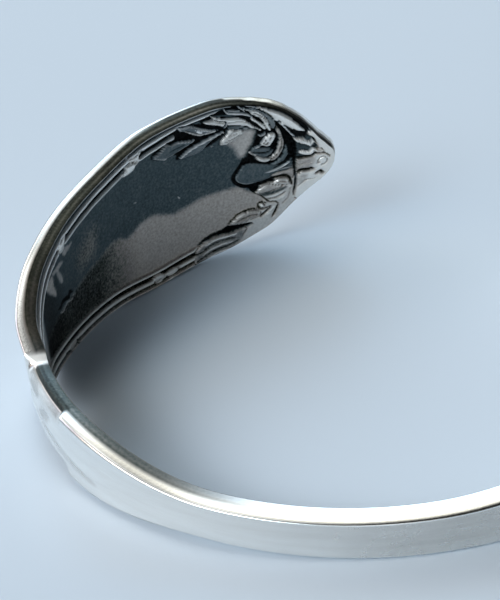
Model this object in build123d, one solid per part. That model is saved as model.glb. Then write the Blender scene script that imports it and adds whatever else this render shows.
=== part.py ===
from build123d import *
import os

import numpy as np

# Driving sizes, in millimetres and degrees
HANDLE_LENGTH = 150.0
HOOP_RADIUS = 28.0
PANEL_LENGTH = 48.0
PANEL_WIDTH = 18.2
STEM_WIDTH = 3.8
THICKNESS = 2.0
FIELD_DEPTH = 0.45
FRONT_DEPTH = 0.3
TIP_ROUND = 2.0
END_ROUND = 3.0
SHOULDER_RUN = 0.9
SHOULDER_FADE = 6.0
BORDER_ROOM = 2.6
BORDER_NEEDS = 3.4
TIP_HEADING = 181.12
REST_LEAN = 8.345
REST_ROLL = 0.077

# How hard the handle is bent: share of its length, and bend radius as a share of the hoop's
BEND = {
    "along": (0.00, 0.05, 0.10, 0.16, 0.22, 0.27, 0.33, 0.39, 0.47, 0.56, 0.65, 0.75),
    "radius": (1.067, 0.993, 1.093, 1.37, 0.975, 0.73, 0.873, 0.857, 1.114, 1.246, 0.99, 0.99),
}

# The ornamented panel, from the tip: share of its length, and width as a share of the widest
PANEL = {
    "along": (0.00, 0.03, 0.085, 0.17, 0.28, 0.42, 0.58, 0.78, 1.00),
    "width": (0.24, 0.303, 0.51, 0.852, 0.986, 0.997, 0.865, 0.720, 0.317),
}

# How much wider the panel is on its upper side near the tip: share of its length, and millimetres
SWELL = {
    "along": (0.00, 0.015, 0.03, 0.045, 0.07, 0.10, 0.125, 0.155, 0.18),
    "width": (0.00, -0.40, -0.35, 0.10, 0.65, 0.85, 0.60, 0.12, 0.00),
}

# The plain stem, from the shoulder: share of its length, and width as a share of the slimmest
STEM = {
    "along": (0.00, 0.05, 0.10, 0.24, 0.42, 0.60, 1.00),
    "width": (1.216, 1.69, 1.75, 0.979, 1.036, 1.53, 1.849),
}

# The reeded border: distance in from the edge, and height as a share of the field's depth
BORDER = {
    "inset": (0.00, 0.12, 0.26, 0.42, 0.72, 0.92, 1.36, 1.66, 2.02),
    "outer_reeds": (1.00, 0.95, 0.50, 0.95, 0.90, 0.10, 0.00, 0.00, 0.00),
    "inner_reed": (0.00, 0.00, 0.00, 0.00, 0.00, 0.00, 0.10, 0.95, 0.00),
}

# How far the panel's upper edge is bent away from the wrist: share of its length, and millimetres
FLARE = {
    "along": (0.00, 0.45, 0.60, 0.76, 0.86, 0.93, 1.00),
    "lift": (0.00, 0.00, 0.05, 0.05, 0.38, 0.50, 0.00),
}

# The wall between the faces: inset from the edge and share of the thickness
WALL = {
    "panel_inset": (-0.20, -0.20, -0.10, 0.14),
    "panel_out": (0.45, 0.84, 0.95, 1.00),
    "shoulder_inset": (-0.12, -0.12, 0.00, 0.20),
    "shoulder_out": (0.34, 0.50, 0.55, 0.62),
    "stem_inset": (-0.12, -0.12, -0.04, 0.14),
    "stem_out": (0.36, 0.82, 0.955, 1.00),
}

# Where lines run along the faces, between the border and the middle line, as shares of the way
BACK_LINES = (0.09, 0.18, 0.28, 0.38, 0.49, 0.61, 0.74, 0.87, 1.00)
FRONT_LINES = (0.18, 0.36, 0.56, 0.78, 1.00)
FRONT_BORDER = (0.42, 0.92, 1.36, 2.02)

# Rows across the handle, as the spacing that each stretch aims for
TIP_STRETCH = 18.0
TIP_SPACING = 0.5
PANEL_SPACING = 0.9
PLAIN_FROM = 64.0
LEAF_SPACING = 1.5
STEM_SPACING = 3.6
LINE_STEP = 0.25
SLOPE_STEP = 0.02

# Ornament on each half of the panel, in millimetres from the tip and from the middle line
LEAVES = {
    "base": ((12.4, 6.4), (14.4, 6.2), (12.0, 5.9), (9.3, 5.5)),
    "belly": ((14.8, 7.6), (17.6, 6.3), (14.8, 5.2), (10.9, 4.9)),
    "point": ((17.0, 8.1), (20.4, 6.2), (17.3, 4.9), (12.3, 4.4)),
    "width": (1.2, 1.5, 1.1, 1.3),
}
STRANDS = {
    "start": ((9.9, 7.6), (9.3, 6.9), (9.0, 1.9)),
    "middle": ((6.7, 5.6), (7.6, 5.8), (7.3, 0.8)),
    "finish": ((5.6, 2.9), (6.7, 4.4), (5.6, 1.7)),
    "width": (0.9, 0.7, 0.8),
}
PALMETTE = {
    "start": ((4.1, 0.0), (4.1, 1.2), (4.3, 2.3)),
    "middle": ((2.8, 0.0), (3.0, 1.5), (3.4, 2.8)),
    "finish": ((1.2, 0.0), (2.0, 1.3), (2.5, 2.7)),
    "width": (1.1, 0.8, 0.7),
}
BUD_CENTRE = (7.2, 3.2)
BUD_SIZE = (1.0, 0.75)
TONGUE = ((4.9, 0.0), (7.5, 0.0), (10.0, 0.0))
TONGUE_WIDTH = 2.2
TENDRIL = ((9.5, 7.4), (11.2, 6.9), (12.6, 6.3))
TENDRIL_WIDTH = 0.8
DIVIDE = ((4.5, 0.0), (4.6, 2.8), (5.7, 4.8))
DIVIDE_WIDTH = 0.8
RIBBONS = (22.6, 35.6)
RIBBON_LENGTH = 2.0
RIBBON_INSETS = (0.4, 1.9)
RIBBON_WIDTH = 0.8
INNER_REED_FROM = 16.0
INNER_REED_FADE = 1.0
SHOULDER_LEAF = ((50.5, 0.0), (56.5, 0.0), (63.0, 0.0))
SHOULDER_LEAF_WIDTH = 2.6
SHOULDER_LEAF_HEIGHT = 0.15
SHOULDER_END = 57.3
SHOULDER_BLEND = 0.8
SHOULDER_DROP = 0.9
SHOULDER_DROP_REACH = 1.3


def smooth(places, values, place):
    """Reads a table at any place, on a smooth curve that never overshoots its rows."""
    places = np.asarray(places, float)
    values = np.asarray(values, float)
    step = np.diff(places)
    slope = np.diff(values) / step
    same_way = slope[:-1] * slope[1:] > 0
    both = np.where(same_way, slope[:-1] + slope[1:], 1.0)
    inner = np.where(same_way, 2 * slope[:-1] * slope[1:] / both, 0.0)
    tangent = np.concatenate([slope[:1], inner, slope[-1:]])
    place = np.clip(place, places[0], places[-1])
    row = np.clip(np.searchsorted(places, place, side="right") - 1, 0, len(step) - 1)
    t = (place - places[row]) / step[row]
    ends = values[row] * (1 + 2 * t) * (1 - t) ** 2 + values[row + 1] * t**2 * (3 - 2 * t)
    lean = tangent[row] * t * (1 - t) ** 2 - tangent[row + 1] * t**2 * (1 - t)
    return ends + lean * step[row]


def rounded(share):
    """A quarter circle from 0 to 1."""
    return np.sqrt(1 - (1 - np.clip(share, 0, 1)) ** 2)


def half_width(along):
    """From the middle line to the edge."""
    stem_length = HANDLE_LENGTH - PANEL_LENGTH
    panel = smooth(PANEL["along"], PANEL["width"], along / PANEL_LENGTH) * PANEL_WIDTH / 2
    stem = smooth(STEM["along"], STEM["width"], (along - PANEL_LENGTH) / stem_length) * STEM_WIDTH / 2
    past = np.clip((along - PANEL_LENGTH) / SHOULDER_RUN, 0, 1)
    ends = rounded(along / TIP_ROUND) * rounded((HANDLE_LENGTH - along) / END_ROUND)
    return (panel * (1 - past) + stem * past) * ends


def side_width(along, side):
    """From the middle line to the edge on one side: 1 above it and -1 below."""
    swell = smooth(SWELL["along"], SWELL["width"], along / PANEL_LENGTH)
    return half_width(along) + swell * (side > 0)


def on_panel(along):
    """1 over the ornamented panel, fading to 0 at the shoulder."""
    left = np.clip((PANEL_LENGTH - along) / SHOULDER_FADE, 0, 1)
    return left * left * (3 - 2 * left)


def on_shoulder(along):
    """1 over the shoulder, where the front rounds down to a thin edge, and 0 elsewhere."""
    start = np.clip((along - PANEL_LENGTH) / SHOULDER_RUN, 0, 1)
    left = np.clip((SHOULDER_END - along) / SHOULDER_BLEND, 0, 1)
    return start * left * left * (3 - 2 * left)


def edge_lift(along, across):
    """How far the flared upper edge moves the faces away from the wrist."""
    lift = smooth(FLARE["along"], FLARE["lift"], along / PANEL_LENGTH)
    share = across / np.maximum(half_width(along), STEM_WIDTH / 4)
    return lift * np.clip(share, 0, 1) ** 3


def hoop_line():
    """The inner face's middle line in plan: distance along, x, y and heading."""
    along = np.linspace(0, HANDLE_LENGTH, int(HANDLE_LENGTH / LINE_STEP) + 1)
    bend = 1 / (HOOP_RADIUS * smooth(BEND["along"], BEND["radius"], along / HANDLE_LENGTH))
    step = np.diff(along)
    heading = np.radians(TIP_HEADING) + np.append(0, np.cumsum((bend[1:] + bend[:-1]) / 2 * step))
    middle = (heading[1:] + heading[:-1]) / 2
    x = np.append(0, np.cumsum(np.cos(middle) * step))
    y = np.append(0, np.cumsum(np.sin(middle) * step))
    return along, x, y, heading


def bent(along, across, out):
    """Bends flat handle points into the hoop: out is measured away from the wrist."""
    line, x, y, heading = hoop_line()
    out = out + edge_lift(along, across)
    turn = np.interp(along, line, heading)
    past = along - np.clip(along, 0, HANDLE_LENGTH)
    plan_x = np.interp(along, line, x) + out * np.sin(turn) + past * np.cos(turn)
    plan_y = np.interp(along, line, y) - out * np.cos(turn) + past * np.sin(turn)
    return np.stack([plan_x, plan_y, across], axis=-1)


def curve(start, middle, finish, count=9):
    """Points on a curve that leaves start, bends by middle and reaches finish."""
    t = np.linspace(0, 1, count)[:, None]
    pull = 2 * np.array(middle) - (np.array(start) + np.array(finish)) / 2
    return (1 - t) ** 2 * np.array(start) + 2 * t * (1 - t) * pull + t**2 * np.array(finish)


def stroke(along, across, path, width, pointed):
    """Height from 0 to 1 of a raised stroke that follows a path."""
    height = np.zeros_like(along)
    last = len(path) - 1
    for index in range(last):
        a, b = path[index], path[index + 1]
        run = b - a
        share = ((along - a[0]) * run[0] + (across - a[1]) * run[1]) / (run @ run)
        share = np.clip(share, 0, 1)
        away = np.hypot(along - a[0] - share * run[0], across - a[1] - share * run[1])
        way = (index + share) / last
        taper = np.sin(np.pi * np.clip(way, 0.02, 0.98)) ** 0.8 if pointed else 1.0 - 0.4 * way
        half = width / 2 * taper
        height = np.maximum(height, np.sqrt(np.clip(1 - (away / half) ** 2, 0, 1)))
    return height


def strokes(along, across, table, start, middle, finish, pointed):
    """The highest of a table's strokes."""
    height = np.zeros_like(along)
    for first, second, third, width in zip(table[start], table[middle], table[finish], table["width"]):
        path = curve(first, second, third)
        height = np.maximum(height, stroke(along, across, path, width, pointed))
    return height


def border(along, inset):
    """Reeds that follow the edge, with a ribbon crossed over them at intervals."""
    outer = np.interp(inset, BORDER["inset"], BORDER["outer_reeds"])
    inner = np.interp(inset, BORDER["inset"], BORDER["inner_reed"])
    height = np.maximum(outer, inner * np.clip((along - INNER_REED_FROM) / INNER_REED_FADE, 0, 1))
    near, far = RIBBON_INSETS
    for place in RIBBONS:
        for side in (-RIBBON_LENGTH / 2, RIBBON_LENGTH / 2):
            ends = np.array([(place - side, near), (place + side, far)])
            height = np.maximum(height, stroke(along, inset, ends, RIBBON_WIDTH, False))
    return height


def relief(along, across, inset):
    """Height of the ornament as a share of the field's depth, the same on both halves."""
    across = np.abs(across)
    away = np.hypot((along - BUD_CENTRE[0]) / BUD_SIZE[0], (across - BUD_CENTRE[1]) / BUD_SIZE[1])
    bud = np.sqrt(np.clip(1 - away**2, 0, 1))
    raised = [
        border(along, inset),
        strokes(along, across, LEAVES, "base", "belly", "point", True),
        strokes(along, across, STRANDS, "start", "middle", "finish", False),
        strokes(along, across, PALMETTE, "start", "middle", "finish", False),
        stroke(along, across, curve(*TONGUE), TONGUE_WIDTH, False),
        stroke(along, across, curve(*TENDRIL), TENDRIL_WIDTH, False),
        bud,
    ]
    divide = stroke(along, across, curve(*DIVIDE), DIVIDE_WIDTH, False)
    return np.maximum.reduce(raised) * (1 - divide)


def back_out(along, across, inset):
    """The inner face, which the wrist touches."""
    depth = FIELD_DEPTH * on_panel(along)
    return depth * (1 - relief(along, across, inset))


def front_out(along, across, inset):
    """The outer face, with the same ornament cut less deep and a leaf below the shoulder."""
    depth = FRONT_DEPTH * on_panel(along)
    leaf = stroke(along, across, curve(*SHOULDER_LEAF), SHOULDER_LEAF_WIDTH, True)
    near = np.clip(1 - inset / SHOULDER_DROP_REACH, 0, 1)
    drop = SHOULDER_DROP * on_shoulder(along) * near**1.5
    return THICKNESS - depth * (1 - relief(along, across, inset)) + SHOULDER_LEAF_HEIGHT * leaf - drop


def spaced(start, finish, spacing):
    """Even places from start up to, but not at, finish."""
    count = max(1, round((finish - start) / spacing))
    return list(np.linspace(start, finish, count + 1)[:-1])


def rows():
    """Places along the edge that the rows leave from, closer where an end is rounded."""
    tip = [TIP_ROUND * share for share in (0, 0.03, 0.12, 0.28, 0.5, 0.75)]
    end = [HANDLE_LENGTH - END_ROUND * share for share in (1, 0.7, 0.42, 0.2, 0.06, 0)]
    shoulder = PANEL_LENGTH + SHOULDER_RUN
    places = tip + spaced(TIP_ROUND, TIP_STRETCH, TIP_SPACING)
    places += spaced(TIP_STRETCH, PANEL_LENGTH, PANEL_SPACING)
    step = SHOULDER_END - SHOULDER_BLEND
    places += [PANEL_LENGTH] + spaced(shoulder, step, LEAF_SPACING)
    places += spaced(step, SHOULDER_END, SHOULDER_BLEND / 2)
    places += spaced(SHOULDER_END, PLAIN_FROM, LEAF_SPACING)
    places += spaced(PLAIN_FROM, HANDLE_LENGTH - END_ROUND, STEM_SPACING)
    return np.array(places + end)


def row_ends(place):
    """Where rows that leave the edge squarely meet the middle line, in order."""
    before = np.clip(place - SLOPE_STEP, 0, HANDLE_LENGTH)
    after = np.clip(place + SLOPE_STEP, 0, HANDLE_LENGTH)
    slope = (half_width(after) ** 2 - half_width(before) ** 2) / (after - before) / 2
    return np.sort(np.minimum(place + np.maximum(slope, 0), HANDLE_LENGTH - END_ROUND))


def wall_values(name, place):
    """One of the wall's measures at a place along the handle."""
    panel, shoulder = float(on_panel(place)), float(on_shoulder(place))
    rows = zip(WALL["panel_" + name], WALL["shoulder_" + name], WALL["stem_" + name])
    return [a * panel + (1 - panel) * (b * shoulder + c * (1 - shoulder)) for a, b, c in rows]


def columns(reach, place):
    """Insets and faces of one row's points, from the back's middle line to the front's."""
    room = reach - BORDER_ROOM
    back = [BORDER_ROOM + room * share for share in reversed(BACK_LINES)]
    back += [BORDER_ROOM] + list(reversed(BORDER["inset"]))
    wall = wall_values("inset", place)
    front = list(FRONT_BORDER) + [BORDER_ROOM]
    front += [BORDER_ROOM + room * share for share in FRONT_LINES]
    face = ["back"] * len(back) + ["wall"] * len(wall) + ["front"] * len(front)
    return np.array(back + wall + front), np.array(face)


def half_grid(side):
    """Flat points of one half of the handle: a row at each place, out of the shape functions."""
    grid = []
    places = rows()
    for place, middle in zip(places, row_ends(places)):
        width = float(side_width(place, side))
        reach = np.hypot(middle - place, width)
        squeeze = min(1, reach / BORDER_NEEDS)
        inset, face = columns(reach / squeeze, place)
        share = inset * squeeze / reach
        along = place + (middle - place) * share
        across = width * (1 - share)
        out = np.where(face == "back", back_out(along, across, inset), front_out(along, across, inset))
        out[face == "wall"] = THICKNESS * np.array(wall_values("out", place))
        grid.append(np.stack([along, side * across, out], axis=-1))
    return np.array(grid)


def rest(points):
    """Lays the hoop on its lower edge and puts the origin on the floor below its middle."""
    lean, roll = np.radians(REST_LEAN), np.radians(REST_ROLL)
    about_x = [[1, 0, 0], [0, np.cos(lean), -np.sin(lean)], [0, np.sin(lean), np.cos(lean)]]
    about_y = [[np.cos(roll), 0, np.sin(roll)], [0, 1, 0], [-np.sin(roll), 0, np.cos(roll)]]
    turned = points @ (np.array(about_y) @ np.array(about_x)).T
    low, high = turned.reshape(-1, 3).min(axis=0), turned.reshape(-1, 3).max(axis=0)
    return turned - [(low[0] + high[0]) / 2, (low[1] + high[1]) / 2, low[2]]


def corner(point):
    """Close points count as one corner."""
    return tuple(round(float(value), 9) for value in point)


def triangles(grid, mirrored, first, last, start, stop):
    """Two triangles between each pair of rows and columns, facing outwards."""
    found = []
    for row in range(first, last):
        for column in range(start, stop):
            a, b = corner(grid[row, column]), corner(grid[row, column + 1])
            c, d = corner(grid[row + 1, column + 1]), corner(grid[row + 1, column])
            on_back = column < grid.shape[1] / 2
            halves = ((a, b, c), (a, c, d)) if on_back else ((a, b, d), (b, c, d))
            for three in halves:
                if len(set(three)) == 3:
                    found.append(three[::-1] if mirrored else three)
    return found


def flat_strips(across, first, last):
    """One face across the plain stem between each pair of rows; the first keeps every point."""
    found = []
    for row in range(first, last):
        near = [corner(point) for point in reversed(across[row])]
        far = [corner(across[row + 1][0]), corner(across[row + 1][-1])]
        if row > first:
            near = [near[0], near[-1]]
        found.append(near + (far if far[0] != far[1] else far[:1]))
    return found


def facets(left, right):
    """Every flat facet of the cuff, as its corners."""
    places = rows()
    plain = int(np.argmin(np.abs(places - PLAIN_FROM)))
    last = len(places) - 1
    axis = left.shape[1] - 1
    rim = len(BACK_LINES) + len(BORDER["inset"])
    brow = rim + len(WALL["stem_out"])
    found = []
    for grid, mirrored in ((left, False), (right, True)):
        found += triangles(grid, mirrored, 0, plain, 0, axis)
        found += triangles(grid, mirrored, plain, last, rim, brow)
    back = np.concatenate([left[:, rim::-1], right[:, 1 : rim + 1]], axis=1)
    front = np.concatenate([right[:, brow:], left[:, -2 : brow - 1 : -1]], axis=1)
    return found + flat_strips(back, plain, last) + flat_strips(front, plain, last)


def make_handle_cuff():
    """The whole cuff as one closed solid of flat facets."""
    whole = np.stack([half_grid(1), half_grid(-1)])
    left, right = rest(bent(whole[..., 0], whole[..., 1], whole[..., 2]))
    faces = [Face(Wire.make_polygon(points, close=True)) for points in facets(left, right)]
    cuff = Solid(Shell(faces))
    cuff.label = "handle_cuff"
    return cuff


os.makedirs("parts", exist_ok=True)
handle_cuff = make_handle_cuff()
export_step(handle_cuff, "parts/handle_cuff.step")
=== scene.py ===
import math

import bmesh
import bpy
import numpy as np
from mathutils import Matrix


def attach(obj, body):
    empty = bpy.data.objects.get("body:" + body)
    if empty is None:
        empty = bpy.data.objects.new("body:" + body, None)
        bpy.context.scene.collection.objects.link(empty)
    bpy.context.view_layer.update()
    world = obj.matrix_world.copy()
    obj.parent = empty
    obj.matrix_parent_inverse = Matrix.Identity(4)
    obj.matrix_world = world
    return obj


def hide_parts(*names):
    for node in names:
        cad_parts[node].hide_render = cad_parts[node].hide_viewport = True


# The handle's own sizes, in millimetres and degrees, as in the part
HANDLE_LENGTH = 150.0
HOOP_RADIUS = 28.0
PANEL_LENGTH = 48.0
PANEL_WIDTH = 18.2
STEM_WIDTH = 3.8
THICKNESS = 2.0
FIELD_DEPTH = 0.45
FRONT_DEPTH = 0.3
TIP_ROUND = 2.0
END_ROUND = 3.0
SHOULDER_RUN = 0.9
SHOULDER_FADE = 6.0
SHOULDER_END = 57.3
SHOULDER_BLEND = 0.8
SHOULDER_DROP = 0.9
SHOULDER_DROP_REACH = 1.3
BORDER_NEEDS = 3.4
TIP_HEADING = 181.12
REST_LEAN = 8.345
REST_ROLL = 0.077
LINE_STEP = 0.25
SLOPE_STEP = 0.02
BEND = {
    "along": (0.00, 0.05, 0.10, 0.16, 0.22, 0.27, 0.33, 0.39, 0.47, 0.56, 0.65, 0.75),
    "radius": (1.067, 0.993, 1.093, 1.37, 0.975, 0.73, 0.873, 0.857, 1.114, 1.246, 0.99, 0.99),
}
PANEL = {
    "along": (0.00, 0.03, 0.085, 0.17, 0.28, 0.42, 0.58, 0.78, 1.00),
    "width": (0.24, 0.303, 0.51, 0.852, 0.986, 0.997, 0.865, 0.720, 0.317),
}
# How much wider the panel is on its upper side near the tip: share of its length, and millimetres
SWELL = {
    "along": (0.00, 0.015, 0.03, 0.045, 0.07, 0.10, 0.125, 0.155, 0.18),
    "width": (0.00, -0.40, -0.35, 0.10, 0.65, 0.85, 0.60, 0.12, 0.00),
}
STEM = {
    "along": (0.00, 0.05, 0.10, 0.24, 0.42, 0.60, 1.00),
    "width": (1.216, 1.69, 1.75, 0.979, 1.036, 1.53, 1.849),
}

# How far the panel's upper edge is bent away from the wrist: share of its length, and millimetres
FLARE = {
    "along": (0.00, 0.45, 0.60, 0.76, 0.86, 0.93, 1.00),
    "lift": (0.00, 0.00, 0.05, 0.05, 0.38, 0.50, 0.00),
}

# The wall between the faces, from the back's bevel to the front's rounded edge
WALL = {
    "panel_inset": (-0.02, -0.06, -0.11, -0.16, -0.20, -0.20, -0.20, -0.19, -0.15, -0.08, 0.01, 0.14),
    "panel_out": (0.03, 0.12, 0.24, 0.36, 0.45, 0.50, 0.70, 0.84, 0.90, 0.95, 0.985, 1.00),
    "shoulder_inset": (-0.02, -0.05, -0.08, -0.11, -0.12, -0.12, -0.12, -0.11, -0.08, -0.01, 0.09, 0.20),
    "shoulder_out": (0.03, 0.09, 0.18, 0.27, 0.34, 0.38, 0.46, 0.50, 0.525, 0.55, 0.58, 0.62),
    "stem_inset": (-0.02, -0.05, -0.08, -0.11, -0.12, -0.12, -0.12, -0.12, -0.09, -0.04, 0.03, 0.14),
    "stem_out": (0.03, 0.10, 0.19, 0.28, 0.36, 0.42, 0.64, 0.82, 0.90, 0.955, 0.985, 1.00),
}

# A millimetre, and the mesh's tolerances, in metres
MM = 0.001
WELD = 0.5e-6
NO_LENGTH = 1e-7


def table(columns, *rows):
    """Named columns out of a table's rows."""
    return dict(zip(columns, zip(*rows)))


# The reeded border: distance in from the edge, and height as a share of the field's depth
BORDER = table(
    ("inset", "outer", "inner", "shade"),
    (0, 1, 0, 0.6),
    (0.08, 0.98, 0, 0.75),
    (0.16, 0.75, 0, 0.45),
    (0.26, 0.35, 0, 0.18),
    (0.4, 0.25, 0, 0.12),
    (0.5, 0.3, 0, 0.16),
    (0.58, 0.65, 0, 0.6),
    (0.66, 0.92, 0, 1),
    (0.78, 1, 0, 1),
    (0.9, 0.95, 0, 1),
    (1, 0.65, 0, 0.55),
    (1.08, 0.25, 0, 0.1),
    (1.2, 0.05, 0, 0.01),
    (1.4, 0, 0.02, 0.01),
    (1.52, 0, 0.15, 0.12),
    (1.6, 0, 0.55, 0.6),
    (1.7, 0, 0.9, 1),
    (1.82, 0, 0.9, 0.95),
    (1.92, 0, 0.5, 0.4),
    (2.05, 0, 0, 0.15),
)
BORDER_ROOM = 2.2
FRONT_BORDER = (0.22, 0.30, 0.40, 0.50, 0.62, 0.74, 0.86, 0.98, 1.20, 1.40, 1.56, 1.72, 1.98)

# How far in the upper border's reeds lie from where the table has them
REED_SHIFT = {
    "along": (17.0, 20.0, 28.0, 33.0),
    "shift": (-0.25, 0.0, 0.0, 0.2),
}
REEDS_FROM = {1: 11.4, -1: 16.0}
INNER_REED_FROM = {1: 16.2, -1: 16.0}
REED_FADE = 0.8
REED_END_FADE = 0.1
INNER_REED = 1.3
SHIFT_FROM = 0.2
SHIFT_OVER = 0.4

# Rows and lines of the fine mesh
TIP_ROWS = (0, 0.006, 0.02, 0.05, 0.09, 0.15, 0.22, 0.31, 0.42, 0.55, 0.70, 0.85)
END_ROWS = (1, 0.8, 0.62, 0.46, 0.32, 0.2, 0.11, 0.05, 0.015, 0)
TIP_STRETCH = 18.0
TIP_SPACING = 0.12
PANEL_SPACING = 0.24
PLAIN_FROM = 64.0
LEAF_SPACING = 0.4
STEM_SPACING = 1.3
BACK_LINES = 50
FRONT_LINES = 16
BACK, WALL_FACE, FRONT = 0, 1, 2

# The camera, fitted to the photograph with the cuff's ring level: degrees, millimetres and pixels
CAMERA_ELEVATION = 38.79
CAMERA_ROLL = -5.14
CAMERA_DISTANCE = 158.65
CAMERA_FOCUS = 1663.6
CAMERA_TARGET = (-10.333, -23.117, 0.0)
IMAGE_LONG_SIDE = 600
SENSOR = 36.0

# Ornament on the inner face, laid from first to last, with places as (along, across) millimetres.
# A plate has its height as a share of the field's depth, the shade of its body and of its edge;
# a line its height, its shade and its width; a stain its shade, its warmth and its softness.
# Shades go from 0 for black to 1 for clean silver.
TIP_ORNAMENT = (
    ("plate", 0.95, 0.86, 0.86, (-1.5, -6), (-1.5, 0), (-1.5, 4.5), (1.2, 4.4), (2.5, 3.3), (3.3, 3),
     (4.1, 2.6), (4.1, 0), (4.2, -2.5), (4.6, -4), (5.4, -5.6), (4, -8)),
    ("stain", 0.55, 0.8, 0.9, (2.2, 1), (3.2, 0.6), (4.4, 0.4), (4.6, -0.9), (4.3, -1.8), (3.4, -1.7),
     (2.6, -1.2), (2, -0.2)),
    # Painted shade under the curls
    ("plate", 0.25, 0.18, 0.1, (2.1, 2.4), (2.75, 2.9), (3.1, 3.2), (4.1, 2.5), (4.2, 1.4), (4.1, 0.25),
     (3.2, 0.15), (2.2, 0.3), (1.9, 0.9), (1.7, 1.2), (1.95, 1.8)),
    ("plate", 1, 0.86, 1, (1.9, 2), (2.3, 2.15), (2.85, 2.1), (3, 2.25), (3.1, 2.6), (3.5, 2.7),
     (4, 2.85), (4.25, 2.7), (4, 2.35), (3.5, 1.95), (2.85, 1.65), (2.55, 1.4), (2.2, 1.7)),
    ("plate", 1, 0.84, 1, (1.9, 1.9), (2.1, 1.35), (2.4, 1), (2.9, 0.85), (3.45, 1.05), (3.75, 0.9),
     (3.6, 0.65), (2.9, 0.4), (2.4, 0.42), (2.1, 0.62), (2.2, 0.95), (1.95, 1.4)),
    ("plate", 0.9, 0.6, 0.85, (1.1, 0.65), (1.5, 0.9), (2, 0.95), (2.05, 0.75), (1.7, 0.45), (1.3, 0.4)),
    ("line", 0.1, 0.04, 0.16, (0.4, -0.1), (0.9, 0.35), (1.3, 0.42), (2.1, 0.42), (2.6, 0.2), (3.2, 0.18),
     (3.8, 0.3)),
    ("line", 0.1, 0.1, 0.12, (1.95, 2.1), (1.85, 1.5), (1.7, 1.15), (1.1, 0.9)),
    ("line", 0.3, 0.32, 0.14, (0.8, -0.3), (1.1, -0.05), (1.6, -0.15), (1.8, -0.55), (1.5, -0.95),
     (1, -0.85), (0.8, -0.5)),
    ("line", 0.05, 0.01, 0.46, (2.1, -1.62), (2.35, -1.4), (2.9, -1.4), (3.4, -1.34), (3.85, -1.34),
     (4, -1.75)),
    ("line", 0.1, 0.02, 0.36, (1.35, -2.15), (1.6, -1.88), (1.85, -1.88), (2.1, -2.1)),
    ("stain", 0.62, 0.8, 0.5, (3, -1.9), (3.9, -2), (4.1, -2.9), (3.3, -2.8)),
    ("line", 0.6, 0.55, 0.14, (2.2, -2.6), (3, -2.6), (3.7, -2.95), (4.1, -3.3)),
    ("line", 0.6, 0.6, 0.12, (2.3, -0.6), (3.2, -0.45), (4, -0.7)),
    ("line", 0.8, 0.62, 0.13, (3, 2.3), (3.5, 2.35), (3.9, 2.55)),
    ("plate", 0.05, 0.05, 0.05, (2.6, 3.5), (3.2, 4.5), (4.1, 5.5), (4.8, 6.2), (5.8, 7), (7.2, 7.7),
     (9, 8.2), (7.6, 7), (6.2, 5.3), (5.2, 4), (4.5, 3.1), (4.15, 2.75), (3.6, 2.7), (3.1, 2.65)),
    ("plate", 1, 0.92, 0.98, (3, 3.5), (3.4, 4.05), (4, 4.8), (4.8, 5.55), (5.8, 6.35), (6.9, 7.05),
     (7.9, 7.5), (6.6, 6.15), (5.7, 5.3), (5, 4.6), (4.4, 4.05), (3.9, 3.7), (3.4, 3.5)),
    ("plate", 0, 0.02, 0.02, (4.3, -3), (4.2, -1), (4.12, 0), (4.05, 1.2), (4.1, 2.1), (4.35, 2.7),
     (4.8, 3.45), (5.4, 4.4), (6.1, 5.5), (6.5, 6), (6.1, 5), (5.7, 4.2), (5.45, 3.3), (5.25, 2.5),
     (5.1, 1.9), (4.85, 1.3), (4.65, 0.7), (4.48, 0), (4.42, -1), (4.45, -2.2), (4.6, -3.2), (4.95, -4.6),
     (4.75, -4.6), (4.5, -3.9)),
    ("line", 0.95, 0.92, 0.17, (4.05, 2.8), (4.45, 3.3), (5.1, 4.3), (5.8, 5.25), (6.6, 6.2), (7.3, 6.95)),
)
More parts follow.
